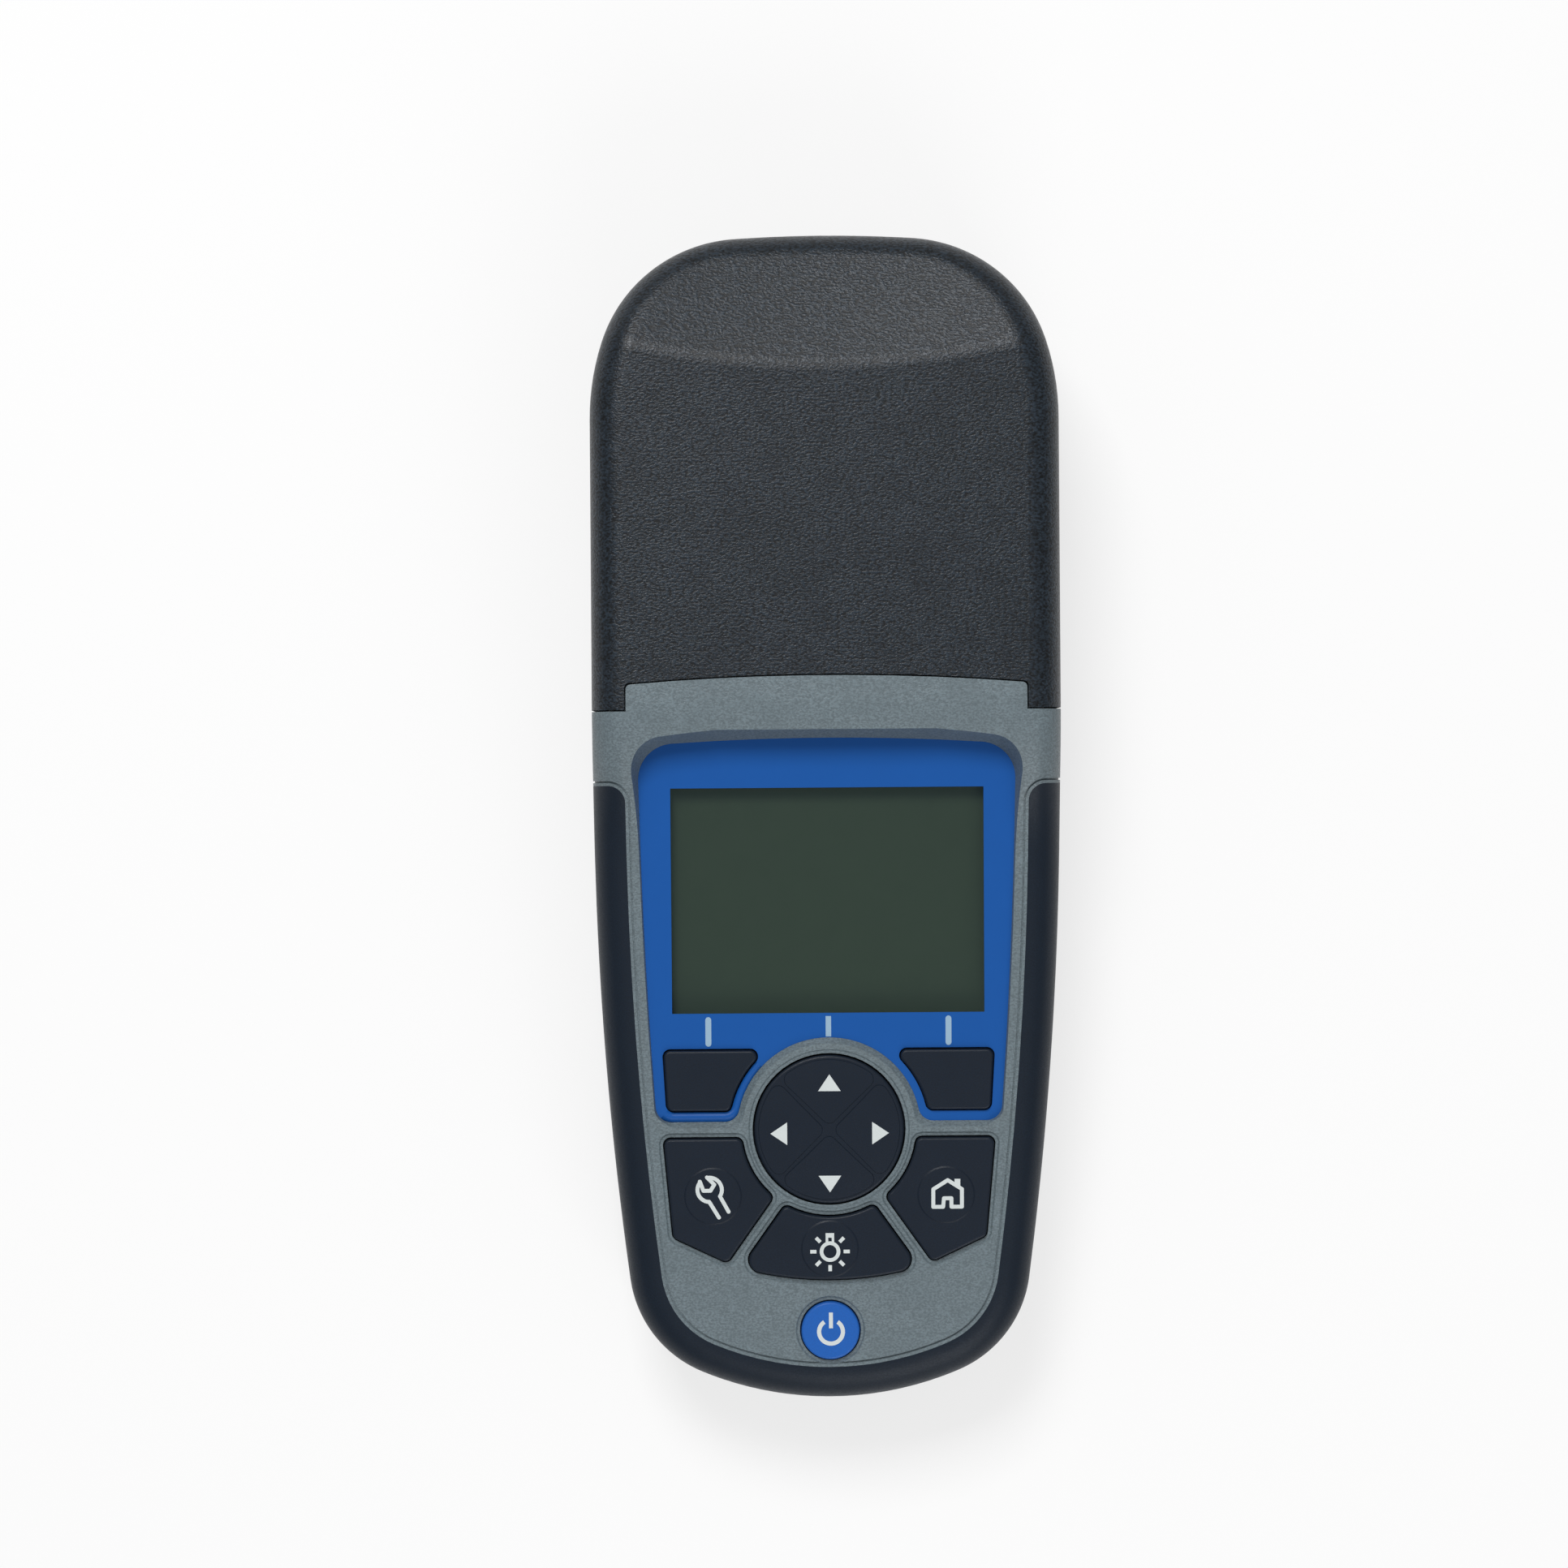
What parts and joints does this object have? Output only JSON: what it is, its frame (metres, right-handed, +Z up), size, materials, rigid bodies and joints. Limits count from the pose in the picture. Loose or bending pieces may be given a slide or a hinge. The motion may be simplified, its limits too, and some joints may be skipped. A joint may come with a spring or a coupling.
{
  "type": "portable colorimeter",
  "caption": "Handheld water-test colorimeter: wedge-shaped housing with keypad, display window, soft grip and a slide-off cap over a round sample well.",
  "frame": {"origin": "on the surface it rests on, under the middle of its length and width", "axes": "+X to the right of the keypad, +Y along the length towards the cap, +Z up out of the front face"},
  "size_m": [0.0944, 0.236, 0.047],
  "materials": {
    "cap_plastic": "fine grained dark charcoal moulding",
    "grip_rubber": "soft-touch overmould, satin",
    "housing_grey": "fine grained mid grey moulding",
    "housing_black": "fine grained dark moulding",
    "seal_rubber": "soft black",
    "screw_steel": "passivated",
    "window_blue": "back-printed blue behind clear acrylic",
    "tape_black": "black foam tape",
    "key_dark": "satin dark key",
    "power_blue": "satin blue key",
    "mat_rubber": "moulded silicone mat",
    "spring_steel": "plated spring strip",
    "lamp_clear": "clear resin lamp",
    "board_green": "solder resist",
    "chip_black": "moulded package",
    "lcd_glass": "reflective display glass",
    "light_guide": "white light guide",
    "battery_can": "sleeved cell can",
    "holder_black": "matt black moulding",
    "filter_glass": "optical glass",
    "foot_rubber": "matt black"
  },
  "bodies": {
    "root": {"front_housing": "housing_grey", "rear_housing": "housing_black", "grip": "grip_rubber", "display_window": "window_blue", "battery_cover": "housing_black", "cell_holder": "holder_black", "rubber_feet": "foot_rubber", "housing_seal": "seal_rubber", "housing_screws": "screw_steel", "window_tape": "tape_black", "keypad_mat": "mat_rubber", "board_screws": "screw_steel", "battery_cover_seal": "seal_rubber", "battery_cover_screws": "screw_steel", "battery_springs": "spring_steel", "battery_contacts": "spring_steel", "cell_spring": "spring_steel", "led_lamps": "lamp_clear", "optics_screws": "screw_steel", "holder_screws": "screw_steel", "keypad_board": "board_green", "main_board": "board_green", "board_header": "chip_black", "clock_cell": "spring_steel", "board_chips": "chip_black", "lcd_frame": "spring_steel", "lcd_panel": "lcd_glass", "lcd_backlight": "light_guide", "battery_1": "battery_can", "battery_2": "battery_can", "battery_3": "battery_can", "battery_4": "battery_can", "led_board": "board_green", "detector_board": "board_green", "photodiode": "spring_steel", "detector_filter": "filter_glass", "source_lens": "filter_glass", "well_light_seal": "seal_rubber"},
    "cap": {"cap": "cap_plastic"},
    "soft_key_left": {"soft_key_left": "key_dark"},
    "soft_key_right": {"soft_key_right": "key_dark"},
    "settings_key": {"settings_key": "key_dark"},
    "home_key": {"home_key": "key_dark"},
    "backlight_key": {"backlight_key": "key_dark"},
    "power_key": {"power_key": "power_blue"},
    "nav_pivot": {"nav_pivot": "chip_black"},
    "nav_pad": {"nav_pad": "key_dark"}
  },
  "joints": [
    {"name": "cap_slide", "type": "slide", "parent": "root", "child": "cap", "axis": [0, 1, 0], "range_m": [0, 0.09]},
    {"name": "soft_key_left_press", "type": "slide", "parent": "root", "child": "soft_key_left", "axis": [0, 0.0785, -0.9969], "range_m": [0, 0.0006], "stiffness_N_per_m": 1200},
    {"name": "soft_key_right_press", "type": "slide", "parent": "root", "child": "soft_key_right", "axis": [0, 0.0785, -0.9969], "range_m": [0, 0.0006], "stiffness_N_per_m": 1200},
    {"name": "settings_key_press", "type": "slide", "parent": "root", "child": "settings_key", "axis": [0, 0.0785, -0.9969], "range_m": [0, 0.0006], "stiffness_N_per_m": 1200},
    {"name": "home_key_press", "type": "slide", "parent": "root", "child": "home_key", "axis": [0, 0.0785, -0.9969], "range_m": [0, 0.0006], "stiffness_N_per_m": 1200},
    {"name": "backlight_key_press", "type": "slide", "parent": "root", "child": "backlight_key", "axis": [0, 0.0785, -0.9969], "range_m": [0, 0.0006], "stiffness_N_per_m": 1200},
    {"name": "power_key_press", "type": "slide", "parent": "root", "child": "power_key", "axis": [0, 0.0785, -0.9969], "range_m": [0, 0.0006], "stiffness_N_per_m": 1200},
    {"name": "nav_tilt_up_down", "type": "hinge", "parent": "root", "child": "nav_pivot", "pos_m": [0, -0.06258, 0.02925], "axis": [1, 0, 0], "range_deg": [-1.3, 1.3], "stiffness_Nm_per_rad": 1.2},
    {"name": "nav_tilt_left_right", "type": "hinge", "parent": "nav_pivot", "child": "nav_pad", "pos_m": [0, -0.06258, 0.02925], "axis": [0, 0.9969, 0.0785], "range_deg": [-1.3, 1.3], "stiffness_Nm_per_rad": 1.2}
  ]
}
